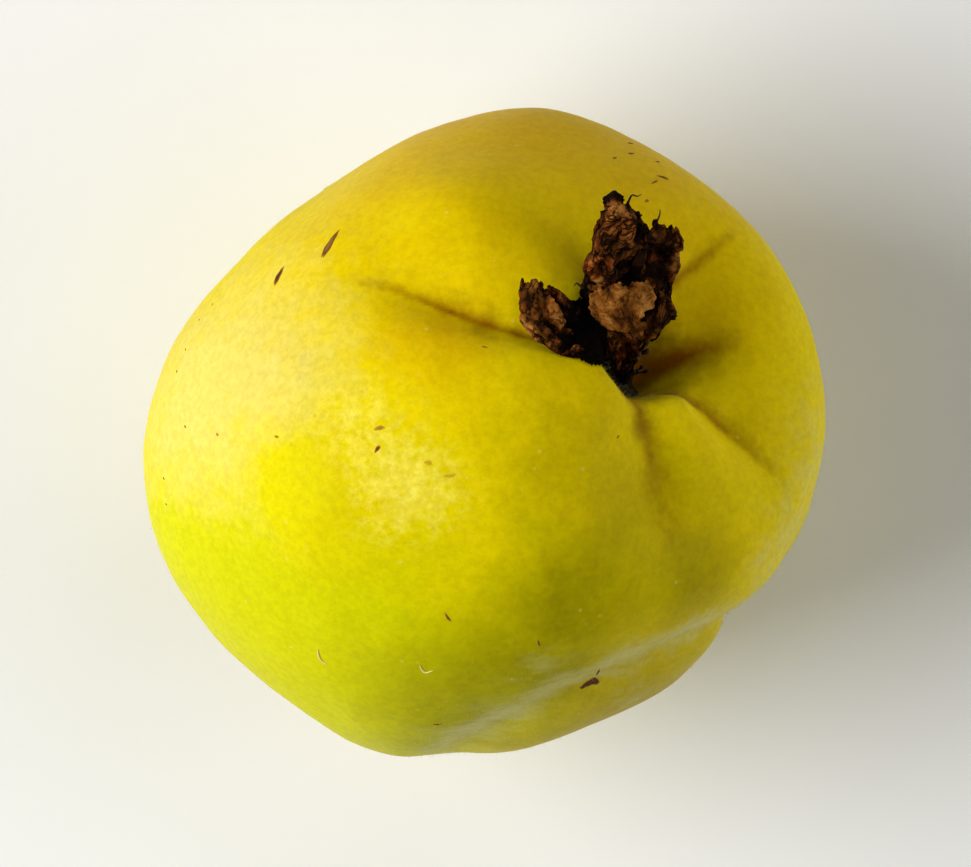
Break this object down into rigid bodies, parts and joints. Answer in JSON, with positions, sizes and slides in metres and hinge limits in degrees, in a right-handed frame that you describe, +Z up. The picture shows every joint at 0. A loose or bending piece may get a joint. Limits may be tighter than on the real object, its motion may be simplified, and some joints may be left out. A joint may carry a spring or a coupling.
{
  "type": "quince",
  "caption": "Ripe yellow quince lying on a small flat spot, with a dried flower end in a furrowed basin and a broken stalk stub underneath.",
  "frame": {"origin": "middle of the small flat spot that the fruit rests on", "axes": "+Z up from the surface that it lies on; the fruit's axis leans 38 degrees from +Z towards a bearing 38 degrees from +X to +Y, with the dried flower end up"},
  "size_m": [0.0726, 0.0689, 0.0674],
  "materials": {
    "skin": "waxy yellow skin, satin, with a little down left in the hollows",
    "dried_sepal": "dry, brown and crumpled, matt",
    "calyx_disc": "dry green brown, matt",
    "dried_stamen": "dry dark brown, matt",
    "woody_stalk": "dry broken wood, matt"
  },
  "bodies": {
    "root": {"fruit_body": "skin", "sepal_left": "dried_sepal", "sepal_back_left": "dried_sepal", "sepal_back_right": "dried_sepal", "sepal_front": "dried_sepal", "sepal_right": "dried_sepal", "calyx_disc": "calyx_disc", "stamen_tuft": "dried_stamen", "styles": "dried_stamen", "stem_stub": "woody_stalk"}
  },
  "joints": []
}
